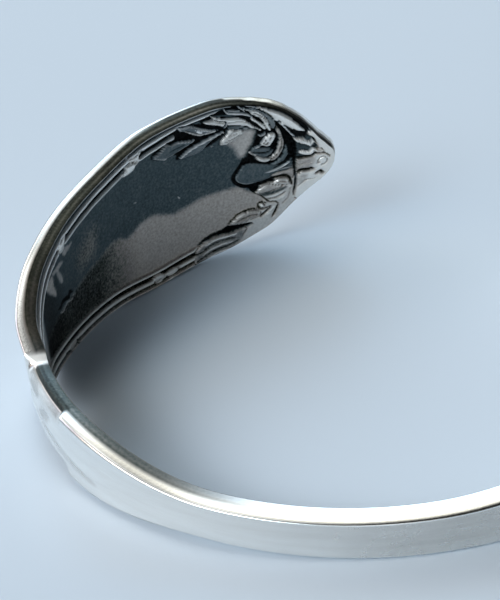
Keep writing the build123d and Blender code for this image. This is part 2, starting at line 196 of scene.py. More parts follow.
SCROLL = (
    ("plate", 0.05, 0.03, 0.03, (5.2, 2.7), (5, 1.6), (4.8, 0.7), (5.2, 0.1), (6.2, -0.3), (7.6, -0.6),
     (8.6, -0.2), (8.2, 0.5), (8.9, 1), (9.5, 1.9), (9.1, 3), (8.6, 4.2), (8.2, 4.6), (7.2, 4.5),
     (6.4, 4.5), (5.9, 4.6), (5.5, 3.9)),
    ("plate", 0.75, 0.26, 0.34, (5.1, 2.1), (4.95, 1.3), (5, 0.75), (5.4, 0.25), (6.1, -0.05),
     (7.1, -0.35), (7.8, 0), (7.1, 0.1), (6.4, 0.25), (5.75, 0.75), (5.4, 1.4)),
    ("plate", 0.95, 0.52, 0.7, (6, 4.7), (5.6, 3.95), (5.42, 3.2), (5.32, 2.4), (5.5, 1.7), (5.9, 1.05),
     (6.4, 0.6), (7, 0.62), (7.1, 0.85), (6.7, 1.1), (6.3, 1.5), (6.05, 2), (5.85, 2.7), (5.8, 3.4),
     (6.05, 4.1)),
    ("line", 0.6, 0.25, 0.13, (5.65, 3.6), (5.55, 2.7), (5.75, 1.9), (6.1, 1.3), (6.6, 0.95)),
    ("line", 0.6, 0.3, 0.13, (5.5, 2.6), (5.62, 1.9), (6, 1.15)),
    ("plate", 0.7, 0.27, 0.32, (6.5, 1.9), (6.8, 1.35), (7.4, 1.15), (8, 1.35), (8.5, 1.75), (9, 2.3),
     (8.7, 2.62), (8, 2.55), (7.4, 2.3), (6.9, 2.15)),
    ("line", 0.1, 0.04, 0.16, (6.2, 2.6), (6.6, 2.05), (7.2, 1.75), (8, 1.85), (8.6, 2.15)),
    ("plate", 1, 0.78, 0.95, (6.8, 0.85), (7.4, 1), (8, 1.3), (8.5, 1.75), (9.15, 2.3), (8.8, 1.65),
     (8.35, 1.05), (7.9, 0.62), (7.2, 0.58)),
    ("line", 1, 0.85, 0.13, (7.3, 2.55), (7.9, 2.7), (8.5, 2.68)),
    ("plate", 0.95, 0.88, 0.95, (6.17, 3.8), (6.67, 3.92), (7.25, 3.67), (7.67, 3.25), (7.75, 2.83),
     (7.4, 2.58), (7, 2.42), (6.67, 2.67), (6.35, 3.08), (6.17, 3.5)),
    ("line", 0.6, 0.25, 0.13, (7.05, 3.15), (7.2, 3.28), (7.42, 3.18), (7.48, 2.95), (7.3, 2.78),
     (7.08, 2.85), (7.03, 3.05)),
    ("line", 0.6, 0.45, 0.13, (6.45, 3.6), (6.75, 3.3), (6.9, 2.95)),
    ("line", 0.9, 0.78, 0.14, (7.05, 4.4), (7.25, 4.1), (7.6, 3.98), (8, 4)),
    ("line", 0.9, 0.6, 0.12, (5.95, 4.6), (6.05, 4.2), (6.15, 3.95)),
)
FAN = (
    ("plate", 0.05, 0.03, 0.03, (6, 4.4), (6.3, 5.7), (7.2, 6.9), (8.4, 7.8), (9.9, 8.6), (11.3, 8.3),
     (13.2, 8.3), (14.2, 7.9), (12.8, 6.2), (11.6, 5.9), (9.6, 5.3), (8.4, 4.6), (7, 4.2)),
    ("plate", 0.75, 0.36, 0.42, (6.2, 4.5), (6.05, 5), (6.4, 5.7), (6.9, 6.35), (7.6, 6.95), (8.3, 7.45),
     (8.9, 7.7), (8.1, 7), (7.35, 6.3), (6.9, 5.8), (6.65, 5.1), (6.45, 4.5)),
    ("line", 0.9, 0.75, 0.12, (6.5, 6.2), (7.2, 6.9), (8, 7.5), (8.9, 7.95), (9.6, 8.2)),
    ("line", 0.8, 0.45, 0.14, (8.2, 8), (9.4, 8.45), (10.4, 8.6), (11.6, 8.7)),
    ("plate", 1, 0.9, 0.98, (6.6, 4.3), (6.75, 4.85), (6.9, 5.6), (7.3, 6.3), (7.9, 6.95), (8.4, 7.25),
     (8.65, 6.95), (8.25, 6.6), (7.75, 6.2), (7.35, 5.55), (7.1, 4.9), (6.9, 4.45)),
    ("line", 0.5, 0.3, 0.13, (7, 5.4), (7.35, 6.1), (7.9, 6.65), (8.4, 7)),
    ("line", 0.95, 0.88, 0.14, (8.3, 7.15), (8.9, 7.45), (9.4, 7.75)),
    ("line", 1, 0.95, 0.12, (9.2, 7.3), (9.55, 7.75), (9.85, 8.05), (10.1, 8.5)),
    ("plate", 1, 0.84, 0.95, (7.1, 4.7), (7.4, 5.2), (7.9, 5.75), (8.35, 6.25), (8.62, 6.35), (8.6, 6.1),
     (8.15, 5.65), (7.75, 5.15), (7.35, 4.65)),
    ("line", 1, 0.92, 0.24, (8.55, 6.45), (9, 6.9), (9.6, 7.2), (10.4, 7.5), (11.2, 7.82), (11.5, 8.3)),
    ("line", 0.8, 0.7, 0.13, (9.8, 7.6), (10.5, 7.85), (11.2, 8.05)),
    ("line", 0.6, 0.26, 0.2, (10.2, 7.2), (11, 7.45), (12, 7.75), (12.8, 8)),
    ("plate", 1, 0.9, 0.98, (7.5, 4.4), (8, 4.95), (8.5, 5.4), (9, 5.95), (9.4, 6.4), (9.9, 6.75),
     (10.6, 7), (11.4, 7.25), (12.2, 7.5), (12.6, 7.85), (13.05, 8.05), (12.7, 7.6), (12.2, 7.25),
     (11.6, 7), (11.3, 6.75), (11.25, 6.4), (10.8, 6.25), (10.2, 6), (9.5, 5.75), (9.1, 5.55), (8.5, 5.2),
     (8, 4.8)),
    ("line", 0.6, 0.55, 0.13, (9.2, 6.1), (10, 6.45), (10.8, 6.6), (11.2, 6.7)),
    ("plate", 0.7, 0.28, 0.32, (9.3, 5.55), (10, 5.85), (10.8, 6.1), (11.2, 6.1), (11.2, 5.85),
     (10.5, 5.6), (9.8, 5.5)),
    ("line", 0.9, 0.7, 0.12, (8.3, 5.1), (9, 5.32), (9.7, 5.35), (10.2, 5.4)),
    ("plate", 0.9, 0.76, 0.88, (9.5, 5), (9.9, 5.25), (10.5, 5.5), (10.85, 5.75), (11.2, 5.65),
     (11.35, 5.35), (11.7, 5.1), (12.1, 4.85), (12.2, 4.55), (12.25, 4.3), (11.65, 4.15), (11, 4.25),
     (10.3, 4.5), (9.8, 4.75)),
    ("line", 0.5, 0.4, 0.13, (10, 4.85), (10.7, 4.62), (11.5, 4.5), (12.1, 4.45)),
    ("line", 0.6, 0.52, 0.13, (10.2, 5.1), (10.8, 5.05), (11.5, 4.85)),
    ("line", 0.6, 0.52, 0.13, (10.7, 5.45), (11, 5.2), (11.4, 5)),
    ("line", 0.95, 0.8, 0.13, (11.4, 6.6), (11.6, 6.1), (11.8, 5.8)),
    ("plate", 1, 0.8, 0.95, (11.5, 6.75), (11.7, 6.92), (12.2, 7.15), (12.6, 7.4), (12.9, 7.68),
     (13.5, 7.6), (13.95, 7.68), (13.65, 7.4), (13.25, 7.1), (12.85, 6.65), (12.4, 6.32), (12.1, 6.22),
     (11.8, 6.4)),
)
LEAVES = (
    ("plate", 0.05, 0.03, 0.03, (11.5, 5.6), (12.2, 6.6), (14, 7.4), (16, 8.2), (17.2, 8.4), (17.6, 7.2),
     (18.6, 7.3), (20.4, 6.5), (18.8, 5.7), (17.4, 5.3), (17.2, 4.6), (14, 4.6), (12.6, 4.9)),
    ("plate", 0.85, 0.3, 0.9, (12.2, 6.1), (13, 6.4), (13.6, 6.75), (14.3, 7.15), (15, 7.65), (15.6, 8),
     (16.3, 8.1), (17, 8.35), (16.7, 7.8), (16.3, 7.58), (15.7, 7.15), (15.1, 6.68), (14.4, 6.35),
     (13.6, 6.22)),
    ("line", 0.95, 0.8, 0.12, (12.6, 6.25), (13.6, 6.6), (14.6, 7.1), (15.2, 7.4)),
    ("plate", 1, 0.85, 0.95, (12.4, 6.15), (13.2, 6.3), (14.4, 6.5), (15.2, 6.95), (15.8, 7.35),
     (16.3, 7.72), (16, 7.38), (15.1, 6.68), (14.4, 6.32), (13.4, 6.2)),
    # Painted highlight on the leaf
    ("line", 1, 1, 0.26, (14.3, 6.7), (14.6, 6.85), (14.9, 7.1)),
    ("plate", 0.85, 0.27, 0.72, (15, 6.1), (16, 6.4), (17.2, 6.75), (18, 6.85), (18.6, 7.1), (19.4, 6.7),
     (20.2, 6.45), (20.4, 6.25), (20, 6), (19.2, 5.62), (18.6, 5.5), (17.7, 5.6), (16.5, 5.75),
     (15.5, 5.95)),
    ("line", 0.95, 0.8, 0.12, (15.8, 6.2), (16.6, 6.55), (17.3, 6.75)),
    ("line", 1, 0.95, 0.12, (18.4, 5.52), (19.2, 5.66), (20, 6.05), (20.5, 6.3)),
    ("line", 0.6, 0.15, 0.13, (16.3, 6.1), (17.4, 6.2), (18.6, 6.1), (19.6, 6.15)),
    ("plate", 0.85, 0.3, 0.55, (12, 5.75), (13, 5.72), (14, 5.6), (15, 5.45), (16, 5.35), (16.7, 5.05),
     (17.2, 4.75), (16.8, 4.6), (16, 4.5), (15, 4.45), (14.4, 4.55), (13.9, 4.9), (13.2, 5.25),
     (12.4, 5.55)),
    ("line", 1, 0.85, 0.2, (11.8, 5.75), (13, 5.65), (14.2, 5.5), (15.4, 5.35), (16.4, 5.1), (17.1, 4.8)),
    ("line", 0.9, 0.6, 0.28, (13.15, 4.6), (13.4, 4.55)),
)
TONGUE = (
    ("plate", 0, 0.02, 0.02, (7.4, 0.3), (8.3, 0.95), (8.6, 1.6), (9.2, 2), (9.75, 1.9), (10.1, 1.2),
     (10.5, 0.7), (11, 0.15), (11.3, -0.5), (11, -1.2), (10.3, -1.9), (9.5, -2.2), (9.1, -2.9),
     (8.6, -2.8), (8.2, -2.2), (7.2, -2.1), (6.6, -2.2), (6.9, -1.7), (7.6, -1.2)),
    ("plate", 0.45, 0.25, 0.27, (4.6, -0.95), (5.6, -1.35), (6.8, -1.6), (7.6, -1.72), (8.6, -1.78),
     (9.5, -1.75), (10.2, -1.45), (10.65, -1), (10.85, -0.5), (10.7, 0), (10.2, 0.35), (10, 0.75),
     (9.5, 0.92), (8.8, 0.75), (8.1, 0.45), (7.4, 0.2), (6.6, -0.1), (5.6, -0.3), (4.9, 0.1), (4.6, 0.5)),
    ("line", 0.4, 0.45, 0.13, (10.2, 0.4), (10.7, -0.1), (10.8, -0.7), (10.4, -1.2), (9.7, -1.55),
     (9, -1.65)),
    ("line", 0.2, 0.05, 0.16, (4.65, 0.5), (5, 0.05), (5.6, -0.2), (6.6, -0.5)),
    ("line", 0.8, 0.7, 0.16, (4.6, 0.35), (4.95, -0.1), (5.5, -0.42), (6.4, -0.65), (7.5, -0.8)),
    ("line", 0.8, 0.6, 0.12, (4.5, -0.75), (5.4, -0.72), (6.4, -0.78), (7.4, -0.82)),
    ("line", 0.3, 0.16, 0.13, (4.8, -0.4), (5.4, -0.6), (6.2, -0.72)),
    ("line", 0.3, 0.2, 0.13, (4.6, -0.95), (5.6, -0.92), (7, -0.98)),
    ("plate", 0.6, 0.5, 0.55, (4.5, -1.1), (5.3, -1.12), (6.3, -1.15), (7, -1.4), (6.3, -1.55),
     (5.5, -1.5), (5, -1.75), (4.6, -2.2)),
)
LOWER_FAN = (
    ("plate", 0.7, 0.66, 0.74, (4.45, -1.2), (5.2, -1.5), (6.3, -1.5), (6.9, -2), (8, -2.1), (8.9, -2.8),
     (8.9, -3.1), (8.2, -3.6), (7.7, -4.2), (8.3, -4.6), (8.6, -5.1), (9.9, -4.95), (11.4, -5.4),
     (12.2, -6), (11.6, -6.4), (13, -6.6), (14.6, -6.7), (16, -7.3), (16.6, -8.2), (16.2, -9.6),
     (11, -9.4), (6, -7.5), (4.4, -5.6), (4.7, -4.2), (4.5, -3)),
    ("line", 0.05, 0.01, 0.4, (4.75, -3), (4.85, -2.4), (5.2, -1.9), (5.9, -1.68), (6.7, -1.76),
     (7.5, -2), (8.2, -2.2)),
    ("plate", 0.95, 0.6, 0.85, (6.75, -2.3), (6.35, -2.02), (5.7, -1.98), (5.2, -2.3), (5.1, -2.75),
     (5.6, -2.8), (6.2, -2.65), (6.7, -2.5)),
    ("line", 0.5, 0.4, 0.13, (5.4, -2.6), (5.7, -2.3), (6.2, -2.3)),
    ("plate", 0.9, 0.56, 0.85, (8.6, -2.85), (8.1, -2.5), (7.4, -2.35), (6.8, -2.55), (6.1, -2.75),
     (5.8, -2.95), (6.8, -3.12), (7.6, -3.2), (8.3, -3.15)),
    # Painted shade under the second lobe
    ("stain", 0.2, 0.3, 0.3, (8.4, -3.25), (7.3, -3.25), (6.5, -3.2), (5.7, -3.05), (5.3, -3.1),
     (5.6, -3.4), (6.3, -3.6), (7.3, -3.75), (8, -3.6)),
    ("line", 0.95, 0.86, 0.22, (7.8, -3.8), (7, -3.9), (6.2, -3.75), (5.6, -3.45)),
    ("line", 0.4, 0.34, 0.16, (7.6, -4.15), (6.8, -4.22), (6.1, -4.08), (5.5, -3.75)),
    ("line", 0.9, 0.84, 0.16, (7.2, -4.4), (6.5, -4.45), (5.9, -4.3), (5.4, -4)),
    ("line", 0.4, 0.42, 0.12, (4.95, -3.3), (5.05, -4), (5.4, -4.7), (6, -5.2)),
    ("line", 0.3, 0.08, 0.18, (8.95, -3), (8.3, -3.5), (7.8, -4.1), (7.4, -4.55), (6.85, -4.68),
     (6.48, -4.95), (6.42, -5.4)),
    ("line", 0.1, 0.05, 0.32, (6.45, -5.3), (6.75, -5.95), (7.15, -6.6)),
    ("line", 0.1, 0.04, 0.2, (7.15, -5.1), (7.7, -5.25), (8.4, -5.25), (8.62, -4.9), (8.5, -4.55),
     (8.1, -4.5), (7.7, -4.65)),
    ("line", 0.95, 0.88, 0.16, (6.9, -5.2), (7.3, -5.6), (7.7, -6.2)),
    ("line", 0.1, 0.06, 0.28, (7.3, -5.35), (7.9, -5.8), (8.55, -6.2)),
    ("plate", 1, 0.92, 0.92, (7.95, -4.85), (8.2, -4.62), (8.42, -4.85), (8.2, -5.08)),
    ("plate", 0.95, 0.48, 0.88, (8.5, -5.6), (9.2, -5.25), (10, -5.15), (11, -5.35), (11.9, -5.85),
     (11.5, -6.15), (10.6, -6.25), (9.5, -6.15), (8.7, -6)),
    ("line", 0.15, 0.06, 0.2, (8.6, -5.3), (9.2, -5.05), (9.9, -4.95), (10.8, -5.1), (11.5, -5.42),
     (12.15, -5.95)),
    ("line", 0.4, 0.2, 0.16, (8.8, -5.75), (9.6, -5.62), (10.4, -5.72), (11.2, -5.9)),
    ("plate", 0, 0.01, 0.01, (9.5, -6.75), (9.9, -6.6), (10.8, -6.5), (11.6, -6.35), (12.2, -6.2),
     (13, -6.4), (14.2, -6.42), (15.2, -6.6), (16.1, -7.05), (15, -6.85), (14, -6.75), (13, -6.85),
     (12.3, -7.05), (11.4, -7.05), (10.5, -6.95), (9.8, -6.92)),
    ("stain", 0.4, 0.5, 0.5, (10.6, -7.2), (12.4, -7.2), (13.8, -7), (15.4, -7.2), (16.4, -7.9),
     (16.2, -9.4), (13, -9.2), (11, -8.4)),
    ("line", 0.95, 0.9, 0.24, (11.4, -7.35), (12.8, -7.25), (14, -7.1), (15.3, -7.35)),
    ("line", 0.05, 0.03, 0.22, (11.6, -7.85), (12.8, -7.65), (14.4, -7.6), (15.8, -8), (18, -7.95)),
    ("line", 0.95, 0.84, 0.22, (12, -8.2), (13.2, -8.05), (14.6, -8.05), (15.8, -8.4)),
    ("line", 0.1, 0.06, 0.24, (11, -8.3), (12.4, -8.55), (14.2, -8.5), (16.5, -8.95)),
    ("line", 0.9, 0.8, 0.2, (12.4, -8.95), (14, -8.9), (15.6, -9.15)),
    ("line", 0.4, 0.25, 0.2, (10.1, -7.1), (10.4, -7.55), (10.75, -7.9)),
)
RIBBON_PLATES = (
    ("plate", 1, 0.9, 0.98, (21.9, 8.15), (22.6, 7.95), (23.5, 7.9), (23.5, 7.6), (22.9, 7.3),
     (22.5, 6.85), (22.2, 7.2), (22.1, 7.7)),
    ("plate", 1, 0.98, 1, (22.7, 7), (23.2, 7.4), (23.9, 7.4), (24.2, 6.9), (24.8, 6.5), (23.9, 6.35),
     (23.1, 6.5)),
    ("line", 0.1, 0.05, 0.14, (22.5, 7), (23, 7.3), (23.6, 7.55)),
    ("line", 0.95, 0.8, 0.22, (23.6, 8.4), (23.8, 8)),
    ("line", 0.95, 0.75, 0.22, (24.3, 7.1), (24.6, 6.7)),
    ("line", 1, 0.95, 0.2, (21.2, 8.2), (21.4, 8.45)),
    ("plate", 1, 0.92, 0.96, (34.4, 5.95), (35.2, 5.85), (35.9, 5.6), (36.1, 5), (35.7, 4.6), (35, 4.7),
     (34.7, 5.2)),
    ("line", 0.95, 0.7, 0.3, (36, 5.2), (37, 4.9), (37.6, 4.5)),
    ("plate", 1, 0.9, 1, (21, -7.75), (21.7, -7.6), (22.3, -7.7), (22.2, -8.5), (21.5, -8.7), (21, -8.4)),
    ("line", 0.1, 0.05, 0.14, (20.9, -7.6), (21.6, -8.2), (22.4, -8.6)),
    ("plate", 1, 0.9, 0.95, (19, -8.2), (19.6, -8), (20.3, -8.1), (20.6, -8.5), (19.9, -8.7), (19.2, -8.6)),
    # Painted highlights on the lower ribbon and the lobe beside it
    ("line", 1, 1, 0.26, (19.8, -9), (20.4, -9)),
    ("line", 1, 1, 0.3, (21.3, -8), (21.9, -8)),
    ("line", 0.1, 0.05, 0.22, (34.9, -6.2), (35.2, -6.5), (35.3, -6.9)),
    ("plate", 1, 0.6, 0.8, (35.5, -6.2), (36.4, -6), (37.2, -5.95), (37, -6.4), (36, -6.5)),
    ("line", 0.1, 0.03, 0.24, (37, -6.6), (37.6, -6.1), (38.4, -5.6)),
)
STREAKS = (
    ("stain", 0.6, 0.9, 0.9, (8.3, 4.6), (8.5, 3.9), (8.8, 3.1), (9.3, 2.5), (9.6, 1.9), (10.2, 1.9),
     (10.5, 2.7), (10.8, 3.4), (11.4, 4.1), (10.7, 4.2), (10, 4.6), (9.4, 5), (8.7, 4.9)),
    ("stain", 0.52, 0.5, 0.3, (33, 4.1), (33.6, 4.05), (34.2, 4.3), (34.9, 4), (34.6, 3.5), (34, 3.6),
     (33.3, 3.8)),
    ("stain", 0.55, 0.5, 0.3, (35.1, 3.1), (35.7, 3.5), (36.6, 3.5), (37.5, 3.55), (37.2, 3.1), (36.6, 3),
     (36.5, 2.3), (36.2, 1.5), (35.9, 1.1), (35.6, 1.4), (35.8, 2.2), (36.1, 2.9)),
    ("stain", 0.62, 0.9, 0.4, (37.6, 3.3), (38.6, 3.4), (39.7, 3.4), (39.3, 2.8), (38.8, 2.1),
     (38.2, 1.5), (37.5, 0.8), (37.3, 1.3), (37.6, 2.1), (37.5, 2.8)),
    ("stain", 0.3, 0.6, 2.4, (29.3, 3), (31.2, 2.6), (32.6, 1.2), (31.6, 0.2), (29.8, 0.8)),
    ("line", 0.25, 0.5, 0.16, (34.2, -1.5), (34.8, -1.8), (35.6, -1.42), (36.2, -1.6), (36.8, -1.72),
     (37.4, -1.25)),
    ("line", 0, 0, 0.5, (34.4, -1.1), (34.8, -0.75), (35.1, -1.2), (35.6, -0.95), (36.5, -0.75), (37, -1),
     (37.4, -0.85)),
    ("line", 0.4, 0.8, 0.14, (17.65, -0.05), (17.75, 0.15)),
    ("line", 0.4, 0.6, 0.12, (23.1, 2.4), (23.3, 2.5)),
    ("line", 0.4, 0.5, 0.12, (26.9, 4.7), (27.05, 4.9)),
)
ORNAMENT = TIP_ORNAMENT + SCROLL + FAN + LEAVES + LOWER_FAN + TONGUE + RIBBON_PLATES + STREAKS

# How a plate is laid: the cut round it, its rounded edge, and the warmth of a bright one
# The cut is darkened as oxide and painted shade; the edge line is rubbed silver and painted highlight
MOAT = 0.12
EDGE_ROUND = 0.3
EDGE_LINE = 0.07
EDGE_SPREAD = 0.06
PLATE_STEP = 0.45
PLATE_WARMTH = 0.85
BRIGHT_FROM = 0.4

# Where the warm tarnish on the field ends: the highest place across at each place along
WARM_EDGE = (
    (8.5, -3.2), (9.6, -2.6), (10.5, -1.7), (12, -1.6), (14, -1.4), (15.5, -1.4), (17, -1.6),
    (18.5, -1.7), (19.5, -1.2), (20.3, -0.8), (21, -0.4), (21.8, -0.3), (23, -0.4), (24, -0.9),
    (25, -1.1), (26, -0.4), (27, -0.2), (28, -0.4), (29, -0.8), (31, -1), (34, -1.6),
)
WARM_WIDTH = 0.8
COLD_SHADE = 0.22
WARM_SHADE = 0.54
# Painted reflection of the shaded floor: the warm tarnish fades, and the field darkens near the shoulder
WARM_FADES_FROM = 22.5
WARM_FADES_OVER = 9
PAINTED_SHADE_FROM = 35
PAINTED_SHADE_OVER = 4
SHOULDER_SHADE = 0.62
SHOULDER_SHADE_FROM = 41.4
SHOULDER_SHADE_OVER = 1.2

# Shade of the wall along the handle: its bevel, the fine line on it, the ledge above it, the flat
# edge and the rounding beyond it; and how far out, as a share of the thickness, the flat edge starts
# Its dark values are tarnish and painted reflection: on the bevel, the ledge, the shoulder's flat and the
# rounding
WALL_SHADE = table(
    ("along", "bevel", "line", "ledge", "flat", "round", "start"),
    (0, 0.5, 0.6, 0.35, 0.85, 0.85, 0.36),
    (0.4, 0.12, 0.3, 0.08, 0.85, 0.85, 0.34),
    (3, 0.1, 0.16, 0.08, 0.9, 0.85, 0.32),
    (6, 0.12, 0.2, 0.1, 0.92, 0.85, 0.34),
    (9, 0.11, 0.22, 0.1, 0.88, 0.75, 0.5),
    (12, 0.13, 0.36, 0.12, 0.78, 0.7, 0.8),
    (15, 0.14, 0.4, 0.12, 0.9, 0.35, 0.76),
    (18, 0.14, 0.32, 0.09, 1, 0.3, 0.72),
    (22, 0.14, 0.3, 0.08, 1, 0.35, 0.7),
    (27, 0.14, 0.28, 0.08, 1, 0.55, 0.66),
    (32, 0.15, 0.28, 0.08, 1, 0.85, 0.64),
    (38, 0.18, 0.28, 0.09, 1, 0.95, 0.62),
    (43, 0.24, 0.32, 0.12, 0.95, 0.9, 0.62),
    (47.9, 0.26, 0.34, 0.14, 0.9, 0.9, 0.6),
    (48.3, 1, 1, 1, 1, 1, 0.46),
    (49.3, 1, 1, 1, 1, 1, 0.46),
    (49.7, 0.23, 0.26, 0.14, 0.18, 0.6, 0.44),
    (56.8, 0.23, 0.26, 0.14, 0.18, 0.6, 0.44),
    (57.2, 0.25, 0.3, 0.18, 0.9, 0.78, 0.6),
    (62, 0.26, 0.31, 0.2, 0.93, 0.78, 0.6),
    (68, 0.3, 0.34, 0.28, 0.94, 0.8, 0.56),
    (73, 0.45, 0.5, 0.5, 0.95, 0.85, 0.5),
    (77, 0.75, 0.78, 0.8, 0.97, 0.95, 0.48),
    (85, 0.95, 0.95, 0.95, 1, 1, 0.46),
)
WALL_LINE = 0.26
WALL_LINE_SPREAD = 0.05
LEDGE_WIDTH = 0.20
ROUND_FROM = 0.93

# The worn step in the wall scatters light: how much, at each place along
NOTCH_PLACES = (47.8, 48.3, 49.2, 49.7)
NOTCH_HAZE = (0.0, 1.7, 1.7, 0.0)

# Shade of the plain outer face along the handle: painted reflection, darker where it reflects the dim room
STEM_SHADE = {
    "along": (49, 60, 72, 78, 82, 86, 92, 100, 115),
    "shade": (0.97, 0.94, 0.93, 0.9, 0.86, 0.78, 0.76, 0.86, 0.95),
}
# Painted shade on the outer face at the shoulder: how dark, how wide, and its places (along, across)
SHOULDER_PAINTED_SHADE = (
    (0.78, 1.4, (50.2, 1.7), (51.2, 1.9), (52.4, 2.1)),
    (0.74, 1.5, (53.2, 0.8), (54.0, 1.2), (54.8, 1.7)),
    (0.84, 1.6, (52.0, 0.2), (55.0, -0.4), (58.0, -1.0), (61.0, -1.5)),
)
SHOULDER_LEAF = ((50.5, 0.0), (56.5, 0.0), (63.0, 0.0))
SHOULDER_LEAF_WIDTH = 2.6
SHOULDER_LEAF_HEIGHT = 0.15
# Painted shade that dims the highlight along the shoulder's thin edge: how dark, and how wide
SHOULDER_EDGE_PAINTED_SHADE = 0.6
SHOULDER_EDGE_WIDTH = 0.35

# Warmth of the plain faces and of the wall beyond the panel, and how much warmer the panel's wall is
PLAIN_WARMTH = 0.6
WALL_WARMTH = 0.45
WALL_WARMER = 0.4


def smooth(places, values, place):
    """Reads a table at any place, on a smooth curve that never overshoots its rows."""
    places = np.asarray(places, float)
    values = np.asarray(values, float)
    step = np.diff(places)
    slope = np.diff(values) / step
    same_way = slope[:-1] * slope[1:] > 0
    both = np.where(same_way, slope[:-1] + slope[1:], 1.0)
    inner = np.where(same_way, 2 * slope[:-1] * slope[1:] / both, 0.0)
    tangent = np.concatenate([slope[:1], inner, slope[-1:]])
    place = np.clip(place, places[0], places[-1])
    row = np.clip(np.searchsorted(places, place, side="right") - 1, 0, len(step) - 1)
    t = (place - places[row]) / step[row]
    ends = values[row] * (1 + 2 * t) * (1 - t) ** 2 + values[row + 1] * t**2 * (3 - 2 * t)
    lean = tangent[row] * t * (1 - t) ** 2 - tangent[row + 1] * t**2 * (1 - t)
    return ends + lean * step[row]


def rounded(share):
    """A quarter circle from 0 to 1."""
    return np.sqrt(1 - (1 - np.clip(share, 0, 1)) ** 2)


def eased(share):
    """A soft step from 0 to 1."""
    share = np.clip(share, 0, 1)
    return share * share * (3 - 2 * share)


def half_width(along):
    """From the middle line to the edge."""
    stem_length = HANDLE_LENGTH - PANEL_LENGTH
    panel = smooth(PANEL["along"], PANEL["width"], along / PANEL_LENGTH) * PANEL_WIDTH / 2
    stem = smooth(STEM["along"], STEM["width"], (along - PANEL_LENGTH) / stem_length) * STEM_WIDTH / 2
    past = np.clip((along - PANEL_LENGTH) / SHOULDER_RUN, 0, 1)
    ends = rounded(along / TIP_ROUND) * rounded((HANDLE_LENGTH - along) / END_ROUND)
    return (panel * (1 - past) + stem * past) * ends


def side_width(along, side):
    """From the middle line to the edge on one side: 1 above it and -1 below."""
    swell = smooth(SWELL["along"], SWELL["width"], along / PANEL_LENGTH)
    return half_width(along) + swell * (side > 0)


def on_panel(along):
    """1 over the ornamented panel, fading to 0 at the shoulder."""
    return eased((PANEL_LENGTH - along) / SHOULDER_FADE)


def on_shoulder(along):
    """1 over the shoulder, where the front rounds down to a thin edge, and 0 elsewhere."""
    start = np.clip((along - PANEL_LENGTH) / SHOULDER_RUN, 0, 1)
    return start * eased((SHOULDER_END - along) / SHOULDER_BLEND)


def edge_lift(along, across):
    """How far the flared upper edge moves the faces away from the wrist."""
    lift = smooth(FLARE["along"], FLARE["lift"], along / PANEL_LENGTH)
    share = across / np.maximum(half_width(along), STEM_WIDTH / 4)
    return lift * np.clip(share, 0, 1) ** 3


def bent(along, across, out):
    """Bends flat handle points into the hoop: out is measured away from the wrist."""
    out = out + edge_lift(along, across)
    line = np.linspace(0, HANDLE_LENGTH, int(HANDLE_LENGTH / LINE_STEP) + 1)
    bend = 1 / (HOOP_RADIUS * smooth(BEND["along"], BEND["radius"], line / HANDLE_LENGTH))
    step = np.diff(line)
    heading = np.radians(TIP_HEADING) + np.append(0, np.cumsum((bend[1:] + bend[:-1]) / 2 * step))
    middle = (heading[1:] + heading[:-1]) / 2
    x = np.append(0, np.cumsum(np.cos(middle) * step))
    y = np.append(0, np.cumsum(np.sin(middle) * step))
    turn = np.interp(along, line, heading)
    past = along - np.clip(along, 0, HANDLE_LENGTH)
    plan_x = np.interp(along, line, x) + out * np.sin(turn) + past * np.cos(turn)
    plan_y = np.interp(along, line, y) - out * np.cos(turn) + past * np.sin(turn)
    return np.stack([plan_x, plan_y, across], axis=-1)


def rest_turn():
    """The turn that lays the level hoop on its lower edge."""
    lean, roll = np.radians(REST_LEAN), np.radians(REST_ROLL)
    about_x = [[1, 0, 0], [0, np.cos(lean), -np.sin(lean)], [0, np.sin(lean), np.cos(lean)]]
    about_y = [[np.cos(roll), 0, np.sin(roll)], [0, 1, 0], [-np.sin(roll), 0, np.cos(roll)]]
    return np.array(about_y) @ np.array(about_x)


def spline(points, samples=6):
    """A smooth line through a few places."""
    points = np.array(points, float)
    ends = np.vstack([2 * points[0] - points[1], points, 2 * points[-1] - points[-2]])
    return np.vstack([through(ends[:-3], ends[1:-2], ends[2:-1], ends[3:], samples), points[-1:]])


def loop(points, samples=5):
    """A smooth closed line through a few places."""
    points = np.array(points, float)
    before, after, next_after = (np.roll(points, step, axis=0) for step in (1, -1, -2))
    line = through(before, points, after, next_after, samples)
    return np.vstack([line, line[:1]])


def through(a, b, c, d, samples):
    """Points between b and c on the smooth line through a, b, c and d."""
    t = np.linspace(0, 1, samples, endpoint=False)[None, :, None]
    a, b, c, d = a[:, None], b[:, None], c[:, None], d[:, None]
    bend = (2 * a - 5 * b + 4 * c - d) * t**2 + (3 * b - a - 3 * c + d) * t**3
    return (0.5 * (2 * b + (c - a) * t + bend)).reshape(-1, 2)


def near_line(along, across, line, reach):
    """Which points are near a line, how far off it they are, and how far along it."""
    low, high = line.min(axis=0) - reach, line.max(axis=0) + reach
    found = (along > low[0]) & (along < high[0]) & (across > low[1]) & (across < high[1])
    index = np.nonzero(found)[0]
    s, v = along[index], across[index]
    away = np.full(len(index), 1e6)
    way = np.zeros(len(index))
    runs = np.linalg.norm(np.diff(line, axis=0), axis=1)
    before = np.append(0, np.cumsum(runs)) / runs.sum()
    for number in range(len(line) - 1):
        a, b = line[number], line[number + 1]
        run = b - a
        share = np.clip(((s - a[0]) * run[0] + (v - a[1]) * run[1]) / (run @ run), 0, 1)
        du, dv = s - a[0] - share * run[0], v - a[1] - share * run[1]
        off = np.hypot(du, dv) * np.where(run[0] * dv - run[1] * du < 0, -1, 1)
        closer = np.abs(off) < np.abs(away)
        away[closer] = off[closer]
        way[closer] = (before[number] + share * (before[number + 1] - before[number]))[closer]
    return index, away, way


